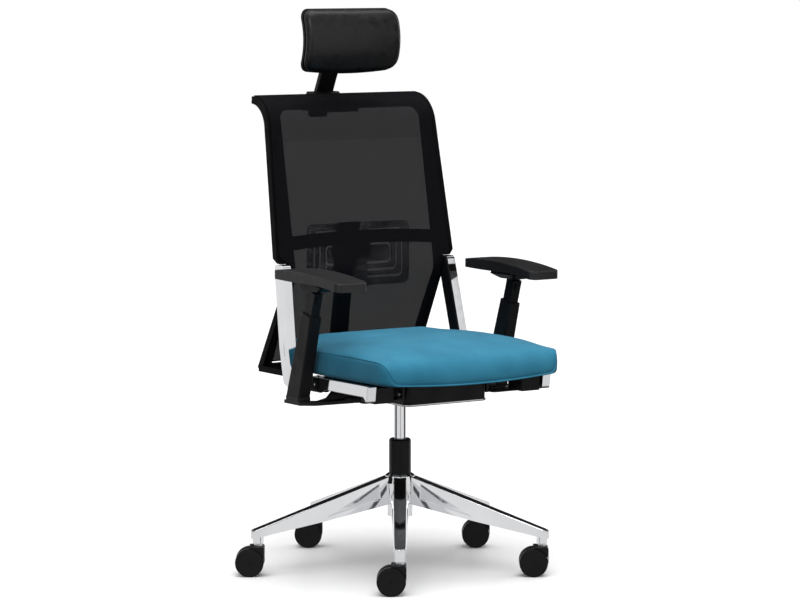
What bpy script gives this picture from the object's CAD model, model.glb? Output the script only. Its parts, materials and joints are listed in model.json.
import json
from math import atan2, ceil, cos, pi, radians, sin, sqrt

import bmesh
import bpy
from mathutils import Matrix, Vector


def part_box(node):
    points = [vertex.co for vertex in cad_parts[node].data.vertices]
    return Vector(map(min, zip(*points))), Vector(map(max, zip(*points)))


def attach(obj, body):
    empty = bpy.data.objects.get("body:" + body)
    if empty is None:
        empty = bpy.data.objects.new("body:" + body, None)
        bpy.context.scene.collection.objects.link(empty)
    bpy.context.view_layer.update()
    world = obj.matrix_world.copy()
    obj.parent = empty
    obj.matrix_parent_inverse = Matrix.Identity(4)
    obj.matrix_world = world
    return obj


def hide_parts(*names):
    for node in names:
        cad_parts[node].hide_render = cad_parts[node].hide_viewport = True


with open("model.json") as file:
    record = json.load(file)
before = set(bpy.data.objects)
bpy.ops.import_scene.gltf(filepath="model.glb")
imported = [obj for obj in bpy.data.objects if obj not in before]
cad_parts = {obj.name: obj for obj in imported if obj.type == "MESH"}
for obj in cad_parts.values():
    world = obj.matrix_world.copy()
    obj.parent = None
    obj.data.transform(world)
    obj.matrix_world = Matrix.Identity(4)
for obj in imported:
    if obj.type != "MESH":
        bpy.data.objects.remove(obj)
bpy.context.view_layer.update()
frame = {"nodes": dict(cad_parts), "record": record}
NODES = frame["nodes"]

# ---------------------------------------------------------------- camera
VIEW_AZIMUTH = radians(-34)
CAMERA_DISTANCE = 7.49
CAMERA_HEIGHT = 1.38
CAMERA_DROP = radians(5.87)

camera_data = bpy.data.cameras.new("camera")
camera_data.sensor_width = 36
camera_data.lens = 150.4
camera = bpy.data.objects.new("camera", camera_data)
camera.location = (CAMERA_DISTANCE * sin(VIEW_AZIMUTH), -CAMERA_DISTANCE * cos(VIEW_AZIMUTH),
                   CAMERA_HEIGHT)
camera.rotation_euler = (pi / 2 - CAMERA_DROP, 0, VIEW_AZIMUTH)
bpy.context.collection.objects.link(camera)
bpy.context.scene.camera = camera


# ---------------------------------------------------------------- node helpers
class Shader:
    """A principled material and short ways to add nodes to it."""

    def __init__(self, name, **sockets):
        self.material = bpy.data.materials.new(name)
        self.material.use_nodes = True
        self.tree = self.material.node_tree
        self.surface = self.tree.nodes["Principled BSDF"]
        self.coords = self.tree.nodes.new("ShaderNodeTexCoord").outputs["Object"]
        for socket, value in sockets.items():
            self.surface.inputs[socket.replace("_", " ")].default_value = value

    def link(self, source, target):
        self.tree.links.new(source, target)

    def noise(self, scale, detail=3.0, stretch=None):
        """Noise over the piece; scale counts its features along a metre."""
        node = self.tree.nodes.new("ShaderNodeTexNoise")
        node.inputs["Scale"].default_value = scale
        node.inputs["Detail"].default_value = detail
        self.link(self.mapped(stretch) if stretch else self.coords, node.inputs["Vector"])
        return node.outputs["Fac"]

    def cells(self, scale):
        """Distance to the nearest point of a Voronoi pattern, for pebbled grain."""
        node = self.tree.nodes.new("ShaderNodeTexVoronoi")
        node.inputs["Scale"].default_value = scale
        self.link(self.coords, node.inputs["Vector"])
        return node.outputs["Distance"]

    def mapped(self, scale):
        node = self.tree.nodes.new("ShaderNodeMapping")
        node.inputs["Scale"].default_value = scale
        self.link(self.coords, node.inputs["Vector"])
        return node.outputs["Vector"]

    def math(self, operation, a, b=0.0, c=0.0):
        node = self.tree.nodes.new("ShaderNodeMath")
        node.operation = operation
        for socket, value in zip(node.inputs, (a, b, c)):
            if isinstance(value, (int, float)):
                socket.default_value = value
            else:
                self.link(value, socket)
        return node.outputs[0]

    def spread(self, value, low, high, start=0.3, end=0.7):
        """value, mapped from start..end to low..high."""
        node = self.tree.nodes.new("ShaderNodeMapRange")
        for socket, number in (("From Min", start), ("From Max", end), ("To Min", low),
                               ("To Max", high)):
            node.inputs[socket].default_value = number
        self.link(value, node.inputs["Value"])
        return node.outputs["Result"]

    def axes(self):
        node = self.tree.nodes.new("ShaderNodeSeparateXYZ")
        self.link(self.coords, node.inputs[0])
        return node.outputs

    def wave(self, along, pitch):
        """A sine along one coordinate, one period per pitch in metres."""
        return self.math("SINE", self.math("MULTIPLY", along, 2 * pi / pitch))

    def color(self, value, dark, light, start=0.3, end=0.7):
        """Colour the surface between dark and light as value goes from start to end."""
        node = self.tree.nodes.new("ShaderNodeMix")
        node.data_type = "RGBA"
        node.inputs["A"].default_value = (*dark, 1)
        node.inputs["B"].default_value = (*light, 1)
        self.link(self.spread(value, 0, 1, start, end), node.inputs["Factor"])
        self.link(node.outputs["Result"], self.surface.inputs["Base Color"])

    def roughness(self, value, low, high):
        self.link(self.spread(value, low, high), self.surface.inputs["Roughness"])

    def bump(self, value, strength, distance):
        node = self.tree.nodes.new("ShaderNodeBump")
        node.inputs["Strength"].default_value = strength
        node.inputs["Distance"].default_value = distance
        self.link(value, node.inputs["Height"])
        self.link(node.outputs["Normal"], self.surface.inputs["Normal"])


def plastic(name, dark, light, rough, grain=1400.0, depth=0.00012, specular=0.16):
    """Moulded plastic: uneven gloss and a fine spark-eroded grain."""
    shader = Shader(name, Specular_IOR_Level=specular)
    shader.color(shader.noise(6), dark, light)
    shader.roughness(shader.noise(30), *rough)
    shader.bump(shader.noise(grain, 2), 0.35, depth)
    return shader.material


def metal(name, dark, light, rough, brushed=None):
    """Metal with faint polishing marks; brushed stretches them along an axis."""
    shader = Shader(name, Metallic=1.0)
    shader.color(shader.noise(9), dark, light)
    shader.roughness(shader.noise(45, 4, brushed), *rough)
    shader.bump(shader.noise(260, 3, brushed), 0.04, 0.0002)
    return shader.material


# ---------------------------------------------------------------- materials
WEAVE_PITCH = 0.0014
KNIT_ACROSS, KNIT_UP = 0.0034, 0.0030
TAPE_PITCH = 0.0012
PERFORATION_PITCH = 0.0070
BLACK, COAL = (0.004, 0.004, 0.005), (0.009, 0.009, 0.010)
polished = metal("polished_aluminium", (0.70, 0.705, 0.72), (0.80, 0.805, 0.82),
                 (0.035, 0.085))
satin_metal = metal("satin_aluminium", (0.55, 0.56, 0.57), (0.68, 0.69, 0.70), (0.24, 0.34),
                    (1, 14, 14))
steel = metal("steel", (0.50, 0.51, 0.53), (0.64, 0.65, 0.66), (0.16, 0.30), (8, 1, 8))
painted = plastic("black_steel", BLACK, COAL, (0.28, 0.42), 700, 0.00008)
moulded = plastic("black_plastic", BLACK, COAL, (0.38, 0.52))
frame_black = plastic("frame_plastic", (0.0015, 0.0015, 0.002), (0.003, 0.003, 0.0035),
                      (0.5, 0.62), specular=0.06)
caster = plastic("caster_black", (0.004, 0.004, 0.0045), (0.009, 0.009, 0.0095),
                 (0.32, 0.46), 500)
pad_skin = plastic("armrest_pad", (0.010, 0.010, 0.011), (0.020, 0.020, 0.021),
                   (0.34, 0.46), 900, specular=0.30)


def woven_teal():
    """Fine plain-weave wool: crossing yarns, small flecks and a soft nap."""
    shader = Shader("teal_fabric", Sheen_Weight=0.10, Sheen_Roughness=0.45,
                    Specular_IOR_Level=0.20)
    x, y, z = shader.axes()
    warp = shader.wave(x, WEAVE_PITCH)
    weft = shader.wave(shader.math("ADD", y, z), WEAVE_PITCH)
    weave = shader.math("MULTIPLY", warp, weft)
    fleck = shader.noise(420, 4)
    tone = shader.math("MULTIPLY_ADD", shader.noise(14, 2), 0.5,
                       shader.math("MULTIPLY", fleck, 0.5))
    shader.color(tone, (0.018, 0.150, 0.245), (0.030, 0.205, 0.320), 0.35, 0.65)
    shader.roughness(fleck, 0.70, 0.88)
    shader.bump(shader.math("MULTIPLY_ADD", weave, 0.5, fleck), 0.5, 0.00025)
    return shader.material


def knitted_mesh():
    """Open knit: small holes in offset rows that let a little of what is behind show through."""
    shader = Shader("back_mesh", Specular_IOR_Level=0.08)
    x, _, z = shader.axes()
    weave = shader.math("MULTIPLY", shader.wave(x, KNIT_ACROSS), shader.wave(z, KNIT_UP))
    holes = shader.spread(weave, 1.0, 0.87, 0.30, 0.70)
    shader.link(holes, shader.surface.inputs["Alpha"])
    yarn = shader.noise(700, 3, (1, 1, 4))
    shader.color(yarn, (0.0016, 0.0013, 0.0022), (0.0042, 0.0036, 0.0056))
    shader.roughness(yarn, 0.6, 0.8)
    shader.bump(shader.math("MULTIPLY_ADD", weave, -0.6, yarn), 0.5, 0.0004)
    return shader.material


def smooth_leather():
    """Smooth upholstery leather: shallow pebble, soft creases, uneven satin gloss."""
    shader = Shader("black_leather", Specular_IOR_Level=0.26, Coat_Weight=0.08,
                    Coat_Roughness=0.25)
    crease = shader.noise(55, 4)
    shader.color(crease, (0.006, 0.006, 0.007), (0.013, 0.013, 0.014))
    shader.roughness(crease, 0.26, 0.40)
    shader.bump(shader.math("MULTIPLY_ADD", crease, 0.8, shader.cells(650)), 0.22, 0.00018)
    return shader.material


def bound_edge():
    """Tape that binds the mesh along its edge: ribbed across."""
    shader = Shader("edge_tape", Specular_IOR_Level=0.08)
    shader.color(shader.noise(500), (0.0015, 0.0015, 0.002), (0.004, 0.004, 0.0045))
    shader.roughness(shader.noise(80), 0.6, 0.75)
    shader.bump(shader.wave(shader.axes()[2], TAPE_PITCH), 0.3, 0.0002)
    return shader.material


def perforated_plastic():
    """Soft dark plastic with small round holes in a square grid."""
    shader = Shader("perforated_plastic", Specular_IOR_Level=0.2)
    x, _, z = shader.axes()
    grid = shader.math("MULTIPLY", shader.wave(x, PERFORATION_PITCH),
                       shader.wave(z, PERFORATION_PITCH))
    holes = shader.spread(shader.math("ABSOLUTE", grid), 1.0, 0.0, 0.28, 0.36)
    shader.link(holes, shader.surface.inputs["Alpha"])
    shader.color(shader.noise(30), (0.020, 0.020, 0.022), (0.035, 0.035, 0.037))
    shader.roughness(shader.noise(60), 0.4, 0.55)
    return shader.material


teal = woven_teal()
mesh_knit = knitted_mesh()
leather = smooth_leather()
tape = bound_edge()
lumbar_plastic = perforated_plastic()
OWN_FINISH = {"back_frame": frame_black, "lumbar_pad": lumbar_plastic}

BY_SLOT = {
    "polished_aluminium": polished, "satin_aluminium": satin_metal, "steel": steel,
    "black_steel": painted, "black_plastic": moulded, "caster_black": caster,
    "armrest_pad": pad_skin, "teal_fabric": teal, "back_mesh": mesh_knit,
    "black_leather": leather,
}
for part in frame["record"]["subparts"]:
    node = NODES[part["node"]]
    finish = OWN_FINISH.get(part["node"], BY_SLOT[part["material_slot"]])
    node.data.materials.clear()
    node.data.materials.append(finish)


# ---------------------------------------------------------------- mesh helpers
ARC_STEPS = 12                 # straight pieces in one rounded corner of an outline
EVENING_ROUNDS = 14
CLOTH_PRESSURE, CLOTH_FRAMES = 4.0, 20
CORD_SIDES = 8
OFF_AXIS = Vector((0.13, 0.21, 0.97))    # parallel to no part of a cord


def new_piece(name, verts, faces, material):
    """A smooth-shaded piece from points and faces, its normals turned outward."""
    mesh = bpy.data.meshes.new(name)
    mesh.from_pydata([tuple(v) for v in verts], [], faces)
    mesh.validate()
    mesh.update()
    cleaned = bmesh.new()
    cleaned.from_mesh(mesh)
    bmesh.ops.recalc_face_normals(cleaned, faces=cleaned.faces)
    cleaned.to_mesh(mesh)
    cleaned.free()
    for polygon in mesh.polygons:
        polygon.use_smooth = True
    mesh.materials.append(material)
    piece = bpy.data.objects.new(name, mesh)
    bpy.context.collection.objects.link(piece)
    return piece


def tube(name, points, radius, material):
    """A thin round cord of fabric along a closed line of points."""
    count = len(points)
    verts, faces = [], []
    for i, point in enumerate(points):
        along = (points[(i + 1) % count] - points[i - 1]).normalized()
        side = along.cross(OFF_AXIS).normalized()
        up = side.cross(along)
        for j in range(CORD_SIDES):
            turn = 2 * pi * j / CORD_SIDES
            verts.append(point + radius * (cos(turn) * side + sin(turn) * up))
    for i in range(count):
        here, there = i * CORD_SIDES, (i + 1) % count * CORD_SIDES
        for j in range(CORD_SIDES):
            m = (j + 1) % CORD_SIDES
            faces.append((here + j, here + m, there + m, there + j))
    return new_piece(name, verts, faces, material)


def rounded_loop(corners, radius, spacing):
    """Points evenly along a closed line whose corners are rounded off.

    A corner takes just under half of a short side, so that two corners never meet.
    """
    line = []
    count = len(corners)
    for i, corner in enumerate(corners):
        before, after = corners[i - 1], corners[(i + 1) % count]
        reach_in = min(radius, (before - corner).length / 2.01)
        reach_out = min(radius, (after - corner).length / 2.01)
        start = corner + (before - corner).normalized() * reach_in
        end = corner + (after - corner).normalized() * reach_out
        for step in range(ARC_STEPS + 1):
            t = step / ARC_STEPS
            line.append(start * (1 - t) ** 2 + corner * 2 * t * (1 - t) + end * t ** 2)
    lengths = [0.0]
    for a, b in zip(line, line[1:] + line[:1]):
        lengths.append(lengths[-1] + (b - a).length)
    total = ceil(lengths[-1] / spacing)
    loop, k = [], 0
    for i in range(total):
        want = lengths[-1] * i / total
        while lengths[k + 1] < want:
            k += 1
        t = (want - lengths[k]) / max(lengths[k + 1] - lengths[k], 1e-9)
        loop.append(line[k].lerp(line[(k + 1) % len(line)], t))
    return loop


def step_up(value, low, high):
    """Smooth step from 0 at low to 1 at high."""
    t = min(max((value - low) / (high - low), 0), 1)
    return t * t * (3 - 2 * t)


def evened(moves, edges, pinned):
    """The moves averaged with their neighbours', which takes out small buckles."""
    for _ in range(EVENING_ROUNDS):
        totals, counts = list(moves), [1] * len(moves)
        for edge in edges:
            a, b = edge.vertices
            totals[a], totals[b] = totals[a] + moves[b], totals[b] + moves[a]
            counts[a] += 1
            counts[b] += 1
        moves = [move if i in pinned else totals[i] / counts[i]
                 for i, move in enumerate(moves)]
    return moves


def inflate(piece, pinned, cap):
    """Swell the piece by cloth simulation; pinned vertices stay, no point moves more than cap."""
    start = [v.co.copy() for v in piece.data.vertices]
    group = piece.vertex_groups.new(name="pinned")
    group.add(pinned, 1.0, "REPLACE")
    cloth = piece.modifiers.new("cloth", "CLOTH")
    cloth.settings.vertex_group_mass = "pinned"
    cloth.settings.quality = 6
    cloth.settings.mass = 0.25
    cloth.settings.tension_stiffness = 25
    cloth.settings.compression_stiffness = 25
    cloth.settings.shear_stiffness = 8
    cloth.settings.bending_stiffness = 1.5
    cloth.settings.use_pressure = True
    cloth.settings.uniform_pressure_force = CLOTH_PRESSURE
    cloth.settings.effector_weights.gravity = 0
    cloth.point_cache.frame_end = CLOTH_FRAMES
    scene = bpy.context.scene
    for number in range(1, CLOTH_FRAMES + 1):
        scene.frame_set(number)
    swollen = piece.evaluated_get(bpy.context.evaluated_depsgraph_get())
    ends = [v.co.copy() for v in swollen.data.vertices]
    piece.modifiers.remove(cloth)
    piece.vertex_groups.remove(group)
    scene.frame_set(1)
    moves = evened([b - a for a, b in zip(start, ends)], piece.data.edges, set(pinned))
    for vertex, a, move in zip(piece.data.vertices, start, moves):
        vertex.co = a + (move * (cap / move.length) if move.length > cap else move)


def loft(name, loop, rings, place, material):
    """A closed cushion: one ring of points per entry of rings, closed at both ends.

    Each entry is a function that gives, for a point of loop, its inset from the outline, its
    shrink towards the middle and its height; place turns the result into a 3-D point.
    """
    count = len(loop)
    middle = sum(loop, Vector((0, 0))) / count
    outward = []
    for i in range(count):
        along = (loop[(i + 1) % count] - loop[i - 1]).normalized()
        outward.append(Vector((along.y, -along.x)))
    verts, faces = [], []
    for ring in rings:
        for i, point in enumerate(loop):
            inset, shrink, height = ring(point)
            flat = point - outward[i] * inset
            verts.append(place(middle + (flat - middle) * shrink, height))
    for r in range(len(rings) - 1):
        for i in range(count):
            k = (i + 1) % count
            here, above = r * count, (r + 1) * count
            faces.append((here + i, here + k, above + k, above + i))
    for r in (0, len(rings) - 1):
        end_ring = verts[r * count:(r + 1) * count]
        verts.append(sum(end_ring, Vector((0, 0, 0))) / count)
        for i in range(count):
            faces.append((r * count + i, r * count + (i + 1) % count, len(verts) - 1))
    return new_piece(name, verts, faces, material)


def crease(piece, count, ring, depth):
    """Sink one ring of the loft along its normals, as a seam pulls the cover in."""
    normals = [v.normal.copy() for v in piece.data.vertices]
    for i in ring_points(ring, count):
        piece.data.vertices[i].co -= normals[i] * depth


def soften(piece):
    modifier = piece.modifiers.new("subdivision", "SUBSURF")
    modifier.levels = 1
    modifier.render_levels = 1


def ring_points(ring, count):
    """Numbers of the vertices of one ring of a loft."""
    return list(range(ring * count, (ring + 1) * count))


# ---------------------------------------------------------------- seat cushion
seat_low, seat_high = (Vector(c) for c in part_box("seat_cushion"))
SEAT_BASE = seat_low.z
SEAT_SEAM = SEAT_BASE + 0.054        # height of the seam along the sides
FRONT_SEAM = SEAT_BASE + 0.008       # and along the front
SEAT_SKIRT = SEAT_BASE + 0.004       # lower edge of the side faces
SEAT_EDGE = seat_high.z - 0.004      # where the rounded top edge ends
SEAT_CROWN = 0.009                   # rise of the middle above that edge
LIP_DROP = 0.016                     # fall of the top towards the front
FRONT_HANG = 0.011                   # how far the cover hangs below the pan in front
EDGE_SHRINK = 0.14                   # share of the plan that the rounded edge takes up
SEAT_INSET, SEAT_BULGE = 0.002, 0.0015
SEAT_CORNER, SEAT_SPACING = 0.036, 0.007
SEAT_SWELL, SEAT_CREASE = 0.005, 0.0022
PINNED_RINGS = 4                     # rings at the underside that the swelling leaves alone
FRONT_SPAN, FRONT_BOW = 0.97, 0.009

# plan outline: the right side from front to rear, and the bowed front edge
seat_half = seat_high.x - 0.001
right_side = [(seat_half - 0.006, seat_low.y + 0.012), (seat_half, -0.060),
              (seat_half - 0.004, 0.014), (seat_half - 0.034, 0.082),
              (seat_half - 0.038, seat_high.y - 0.001)]
front_arc = [(x * seat_half * FRONT_SPAN, seat_low.y + SEAT_INSET + FRONT_BOW * abs(x) ** 2.2)
             for x in (-0.75, -0.45, -0.15, 0.15, 0.45, 0.75)]
seat_corners = [Vector(p) for p in front_arc + right_side]
seat_corners += [Vector((-x, y)) for x, y in reversed(right_side)]
seat_loop = rounded_loop(seat_corners, SEAT_CORNER, SEAT_SPACING)
SEAT_MIDDLE_Y = sum(p.y for p in seat_loop) / len(seat_loop)


def front_share(point):
    """1 along the cushion's front, 0 at its sides and rear; the side seam turns down between."""
    if point.y >= -0.2:
        return 0
    return step_up(seat_half - abs(point.x), 0.003, 0.036)


def seat_hang(point):
    """How far the cover's lower edge hangs below the pan, most in the middle of the front."""
    return FRONT_HANG * step_up(-point.y, 0.272, 0.296) * (1 - (point.x / seat_half) ** 2)


def seat_seam_height(point):
    return SEAT_SEAM + (FRONT_SEAM - SEAT_SEAM) * front_share(point) - seat_hang(point)


def seat_surface(y, shrink):
    """Height of the cushion's top: crowned, and falling away towards the front."""
    fall = LIP_DROP * step_up(-y, 0.150, 0.300)
    return SEAT_EDGE - fall + SEAT_CROWN * (1 - shrink ** 2.5)


def shrunk_y(point, shrink):
    return SEAT_MIDDLE_Y + (point.y - SEAT_MIDDLE_Y) * shrink


def seat_bottom_ring(shrink, inset):
    return lambda point: (inset, shrink, SEAT_BASE)


def seat_side_ring(t):
    def ring(point):
        low = SEAT_SKIRT - seat_hang(point)
        height = low + (seat_seam_height(point) - low) * t
        return SEAT_INSET - SEAT_BULGE * sin(pi * t), 1, height
    return ring


def seat_edge_ring(t):
    def ring(point):
        start = seat_seam_height(point)
        shrink = 1 - EDGE_SHRINK * (1 - cos(t * pi / 2))
        edge = seat_surface(shrunk_y(point, shrink), 1)
        inset = SEAT_INSET - SEAT_BULGE * front_share(point) * sin(pi * t)
        return inset, shrink, start + (edge - start) * sin(t * pi / 2)
    return ring


def seat_top_ring(share):
    def ring(point):
        shrink = share * (1 - EDGE_SHRINK)
        return SEAT_INSET * share, shrink, seat_surface(shrunk_y(point, shrink), share)
    return ring


SEAT_BOTTOM_STEPS = ((0.3, 0.02), (0.7, 0.02), (1, 0.012))
SEAT_SIDE_STEPS = (0.0, 0.18, 0.38, 0.58, 0.78, 0.93, 1.0)
SEAT_EDGE_STEPS = (0.045, 0.12, 0.22, 0.34, 0.46, 0.58, 0.70, 0.82, 0.92, 1.0)
SEAT_TOP_RINGS = 22
seat_rings = [seat_bottom_ring(shrink, inset) for shrink, inset in SEAT_BOTTOM_STEPS]
seat_rings += [seat_side_ring(t) for t in SEAT_SIDE_STEPS]
seat_seam_ring = len(seat_rings) - 1
seat_rings += [seat_edge_ring(t) for t in SEAT_EDGE_STEPS]
seat_rings += [seat_top_ring(1 - k / SEAT_TOP_RINGS) for k in range(1, SEAT_TOP_RINGS)]

seat = loft("seat_upholstery", seat_loop, seat_rings,
            lambda flat, height: Vector((flat.x, flat.y, height)), teal)
ring_size = len(seat_loop)
inflate(seat, list(range(PINNED_RINGS * ring_size)) + ring_points(seat_seam_ring, ring_size),
        SEAT_SWELL)
crease(seat, ring_size, seat_seam_ring, SEAT_CREASE)
soften(seat)
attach(seat, "seat_slide")
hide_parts("seat_cushion")

# ---------------------------------------------------------------- headrest cushion
head_low, head_high = (Vector(c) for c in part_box("headrest_cushion"))
HEAD_MID = (head_low.z + head_high.z) / 2 + 0.004
HEAD_BEND = 0.132                    # radius of the headrest's bend in side view
HEAD_DEPTH = 0.0248
HEAD_REAR = head_low.y + HEAD_DEPTH
HEAD_INSET = 0.0012
HEAD_FOOT, HEAD_SEAM = 0.0008, 0.0113    # depth at which the side starts and the seam runs
HEAD_ROUND = 0.015                   # radius of the rounded edge in front of the seam
HEAD_CROWN = 0.003
HEAD_FACE = HEAD_DEPTH - 0.0032      # depth at which the rounded edge meets the front
HEAD_CORNER, HEAD_SPACING = 0.030, 0.005
HEAD_SWELL, HEAD_CREASE = 0.003, 0.0014

head_half = head_high.x - 0.0006
head_top, head_foot = head_high.z - 0.0006, head_low.z + 0.008
head_corners = [Vector(p) for p in (
    (-head_half, head_foot), (-head_half * 0.5, head_foot - 0.005), (0, head_foot - 0.007),
    (head_half * 0.5, head_foot - 0.005), (head_half, head_foot), (head_half, head_top),
    (-head_half, head_top))]
head_loop = rounded_loop(head_corners, HEAD_CORNER, HEAD_SPACING)


def head_place(flat, height):
    """Lay a point of the headrest on its bend; height is measured forward from the shell."""
    bow = HEAD_BEND - sqrt(HEAD_BEND ** 2 - (flat.y - HEAD_MID) ** 2)
    return Vector((flat.x, HEAD_REAR + bow - height, flat.y))


def head_ring(inset, shrink, height):
    return lambda point: (inset, shrink, height)


HEAD_SIDE_STEPS = (0.0, 0.25, 0.5, 0.75, 0.9, 1.0)
HEAD_EDGE_STEPS = (0.06, 0.16, 0.28, 0.42, 0.56, 0.70, 0.84, 1.0)
HEAD_FACE_RINGS = 14
head_rings = [head_ring(0.01, shrink, HEAD_FOOT / 2) for shrink in (0.35, 0.75, 0.96)]
head_rings += [head_ring(HEAD_INSET - 0.001 * sin(pi * t), 1,
                         HEAD_FOOT + (HEAD_SEAM - HEAD_FOOT) * t) for t in HEAD_SIDE_STEPS]
head_seam_ring = len(head_rings) - 1
for t in HEAD_EDGE_STEPS:
    turn = t * pi / 2
    head_rings.append(head_ring(HEAD_INSET + HEAD_ROUND * (1 - cos(turn)), 1,
                                HEAD_SEAM + (HEAD_FACE - HEAD_SEAM) * sin(turn)))
for k in range(1, HEAD_FACE_RINGS):
    shrink = 1 - k / HEAD_FACE_RINGS
    head_rings.append(head_ring(HEAD_INSET + HEAD_ROUND, shrink,
                                HEAD_FACE + HEAD_CROWN * (1 - shrink ** 2)))
head = loft("headrest_upholstery", head_loop, head_rings, head_place, leather)
ring_size = len(head_loop)
inflate(head, list(range(PINNED_RINGS * ring_size)) + ring_points(head_seam_ring, ring_size),
        HEAD_SWELL)
crease(head, ring_size, head_seam_ring, HEAD_CREASE)
soften(head)
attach(head, "head")
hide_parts("headrest_cushion")

# ---------------------------------------------------------------- mesh back
# side view (y, z) of the back frame's centre line, in metres
BACK_LOW, BACK_KINK = Vector((0.254, 0.441)), Vector((0.137, 0.664))
BACK_HIGH, BACK_LIP = Vector((0.198, 1.000)), Vector((0.266, 1.058))
KINK_REACH = 0.0215
MESH_SHIFT = 0.0073            # forward of the centre line, just clear of the frame
# half width of the sheet at each height
MESH_WIDTHS = [(0.440, 0.2080), (0.665, 0.2010), (0.6905, 0.2010), (0.6985, 0.2240),
               (0.712, 0.2335), (1.064, 0.2190)]
SHEET_FOOT = 0.4575            # height at which the sheet starts
LOW_STEPS, KINK_STEPS, HIGH_STEPS, CURL_STEPS = 26, 8, 40, 14
COLUMNS = 48
HEM_RADIUS = 0.0014


def back_profile():
    """Side view points of the centre line, low to lip, with the kink and the curl rounded."""
    down, up = (BACK_LOW - BACK_KINK).normalized(), (BACK_HIGH - BACK_KINK).normalized()
    first, last = BACK_KINK + down * KINK_REACH, BACK_KINK + up * KINK_REACH
    points = [BACK_LOW.lerp(first, k / LOW_STEPS) for k in range(LOW_STEPS)]
    for k in range(KINK_STEPS + 1):
        t = k / KINK_STEPS
        points.append(first * (1 - t) ** 2 + BACK_KINK * 2 * t * (1 - t) + last * t ** 2)
    points += [last.lerp(BACK_HIGH, k / HIGH_STEPS) for k in range(1, HIGH_STEPS + 1)]
    rear = Vector((up.y, -up.x))
    chord = BACK_LIP - BACK_HIGH
    curl = chord.length_squared / (2 * chord.dot(rear))
    centre = BACK_HIGH + rear * curl
    end = BACK_LIP - centre
    sweep = atan2(rear.x * end.y - rear.y * end.x, -rear.dot(end))
    for k in range(1, CURL_STEPS + 1):
        turn = abs(sweep) * k / CURL_STEPS
        points.append(centre - rear * curl * cos(turn) + up * curl * sin(turn))
    return points


def mesh_half_width(z):
    """Half width of the sheet at height z, read off the straight lines of MESH_WIDTHS."""
    for (z0, w0), (z1, w1) in zip(MESH_WIDTHS, MESH_WIDTHS[1:]):
        if z <= z1:
            return w0 + (w1 - w0) * max(z - z0, 0) / (z1 - z0)
    return MESH_WIDTHS[-1][1]


profile = [p for p in back_profile() if p.y > SHEET_FOOT]
rows = []
for i, point in enumerate(profile):
    along = (profile[min(i + 1, len(profile) - 1)] - profile[max(i - 1, 0)]).normalized()
    rows.append(point + Vector((-along.y, along.x)) * MESH_SHIFT)

verts, faces = [], []
for y, z in rows:
    width = mesh_half_width(z)
    for c in range(COLUMNS + 1):
        verts.append(Vector((width * (2 * c / COLUMNS - 1), y, z)))
for r in range(len(rows) - 1):
    for c in range(COLUMNS):
        k = r * (COLUMNS + 1) + c
        faces.append((k, k + 1, k + COLUMNS + 2, k + COLUMNS + 1))
back = new_piece("back_knit", verts, faces, mesh_knit)

last_row = (len(rows) - 1) * (COLUMNS + 1)
border = [verts[c] for c in range(COLUMNS + 1)]
border += [verts[r * (COLUMNS + 1) + COLUMNS] for r in range(1, len(rows))]
border += [verts[last_row + c] for c in range(COLUMNS - 1, -1, -1)]
border += [verts[r * (COLUMNS + 1)] for r in range(len(rows) - 2, 0, -1)]
hem = tube("back_hem", border, HEM_RADIUS, tape)

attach(back, "back")
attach(hem, "back")
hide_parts("back_mesh")


# ---------------------------------------------------------------- studio
FLOOR_SIZE = 30.0
FLOOR_STEPS = 2
CARD_DISTANCE = 1.9
# dark cards: bearing and spread in degrees from the +X axis, and the z range
CARDS = [(331, 34, 0.0, 2.6), (156, 36, 0.0, 2.6), (244, 7, 0.0, 2.6), (56, 76, 0.20, 3.6)]
# what gloss sees of the surroundings: the sine of the elevation and the brightness there
GLOSS_BANDS = [(-1.0, 0.10), (-0.50, 0.22), (-0.34, 0.80), (0.0, 0.92), (0.40, 0.88),
               (0.62, 0.45), (1.0, 0.85)]
# name, place, target, size and power in watts
SOFTBOXES = [("key", (-2.2, -2.6, 3.6), (0, 0, 0.6), (1.8, 1.8), 34),
             ("top", (0.6, 0.4, 4.2), (0, 0, 0.5), (2.6, 2.6), 40),
             ("right", (3.4, -0.6, 2.0), (0, 0, 0.7), (1.0, 2.2), 14)]
SKY_STRENGTH, SKY_SPREAD = 1.9, radians(50)
SKY_TURN = (radians(18), radians(-12), 0)


def studio_floor():
    """A pale floor that shows shadows but throws no light back at the chair."""
    shader = Shader("studio_floor", Specular_IOR_Level=0.35)
    shader.color(shader.noise(0.6), (0.95, 0.95, 0.95), (0.98, 0.98, 0.98))
    shader.roughness(shader.noise(3), 0.30, 0.38)
    across = [FLOOR_SIZE * (i / FLOOR_STEPS - 0.5) for i in range(FLOOR_STEPS + 1)]
    verts = [Vector((x, y, 0)) for y in across for x in across]
    row = len(across)
    faces = [(j * row + i, j * row + i + 1, (j + 1) * row + i + 1, (j + 1) * row + i)
             for j in range(FLOOR_STEPS) for i in range(FLOOR_STEPS)]
    floor = new_piece("studio_floor", verts, faces, shader.material)
    floor.visible_diffuse = False
    floor.visible_glossy = False


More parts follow.
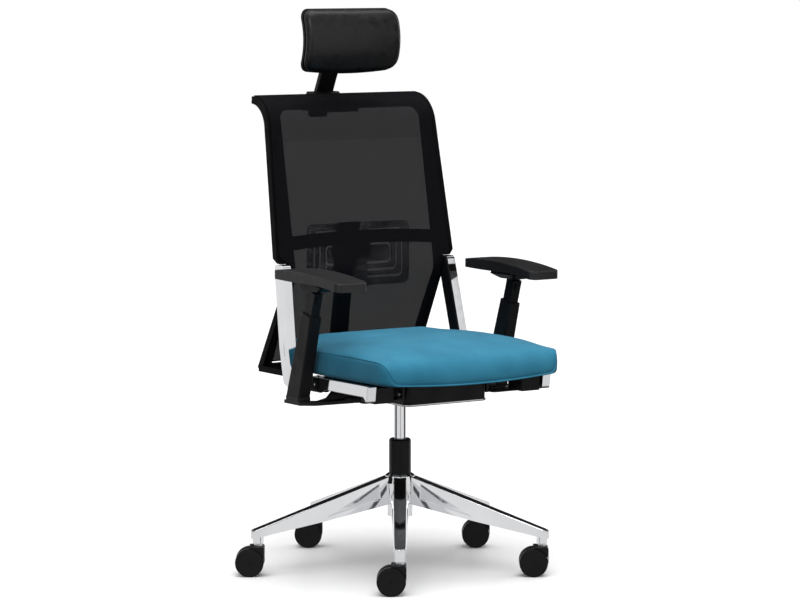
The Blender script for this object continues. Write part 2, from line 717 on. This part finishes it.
def studio_world():
    """White surroundings, lit mostly from overhead; gloss sees bands of light and dark instead."""
    world = bpy.data.worlds.new("studio")
    world.use_nodes = True
    tree = world.node_tree
    direction = tree.nodes.new("ShaderNodeTexCoord").outputs["Generated"]
    axes = tree.nodes.new("ShaderNodeSeparateXYZ")
    overhead = tree.nodes.new("ShaderNodeMapRange")
    overhead.inputs["From Max"].default_value = 0.9
    overhead.inputs["To Min"].default_value = 0.10
    path = tree.nodes.new("ShaderNodeLightPath")
    mix = tree.nodes.new("ShaderNodeMix")
    mix.data_type = "RGBA"
    mix.inputs["A"].default_value = (1, 1, 1, 1)
    tree.links.new(direction, axes.inputs[0])
    tree.links.new(axes.outputs["Z"], overhead.inputs["Value"])
    tree.links.new(overhead.outputs["Result"], mix.inputs["B"])
    tree.links.new(path.outputs["Is Diffuse Ray"], mix.inputs["Factor"])
    height = tree.nodes.new("ShaderNodeMapRange")
    height.inputs["From Min"].default_value = -1.0
    tree.links.new(axes.outputs["Z"], height.inputs["Value"])
    bands = tree.nodes.new("ShaderNodeValToRGB")
    stops = bands.color_ramp.elements
    while len(stops) < len(GLOSS_BANDS):
        stops.new(1.0)
    for stop, (place, level) in zip(stops, GLOSS_BANDS):
        stop.position = (place + 1) / 2
        stop.color = (level, level, level, 1)
    tree.links.new(height.outputs["Result"], bands.inputs["Fac"])
    seen = tree.nodes.new("ShaderNodeMix")
    seen.data_type = "RGBA"
    tree.links.new(path.outputs["Is Glossy Ray"], seen.inputs["Factor"])
    tree.links.new(mix.outputs["Result"], seen.inputs["A"])
    tree.links.new(bands.outputs["Color"], seen.inputs["B"])
    tree.links.new(seen.outputs["Result"], tree.nodes["Background"].inputs["Color"])
    bpy.context.scene.world = world


def reflection_cards():
    """Dark cards round the chair that only gloss sees, for the black streaks in the chrome."""
    card_black = Shader("card_black", Roughness=1.0)
    card_black.color(card_black.noise(2), (0.004, 0.004, 0.004), (0.012, 0.012, 0.012))
    for number, (bearing, spread, low, top) in enumerate(CARDS):
        verts = []
        for side in (-0.5, 0.5):
            angle = radians(bearing + side * spread)
            for z in (low, top):
                verts.append(Vector((CARD_DISTANCE * cos(angle), CARD_DISTANCE * sin(angle),
                                     z)))
        card = new_piece(f"card_{number}", verts, [(0, 2, 3, 1)], card_black.material)
        card.visible_camera = False
        card.visible_diffuse = False
        card.visible_shadow = False
        card.visible_transmission = False


def softbox(name, place, target, size, power):
    """A rectangular lamp at place that faces target."""
    data = bpy.data.lights.new(name, "AREA")
    data.shape = "RECTANGLE"
    data.size, data.size_y = size
    data.energy = power
    lamp = bpy.data.objects.new(name, data)
    lamp.location = place
    lamp.rotation_euler = (Vector(target) - Vector(place)).to_track_quat("-Z", "Y").to_euler()
    bpy.context.collection.objects.link(lamp)


def sky():
    """Broad light from overhead that gloss doesn't see."""
    data = bpy.data.lights.new("sky", "SUN")
    data.energy = SKY_STRENGTH
    data.angle = SKY_SPREAD
    lamp = bpy.data.objects.new("sky", data)
    lamp.rotation_euler = SKY_TURN
    lamp.visible_glossy = False
    bpy.context.collection.objects.link(lamp)


studio_floor()
studio_world()
reflection_cards()
for lamp_settings in SOFTBOXES:
    softbox(*lamp_settings)
sky()
bpy.context.scene.view_settings.view_transform = "Standard"
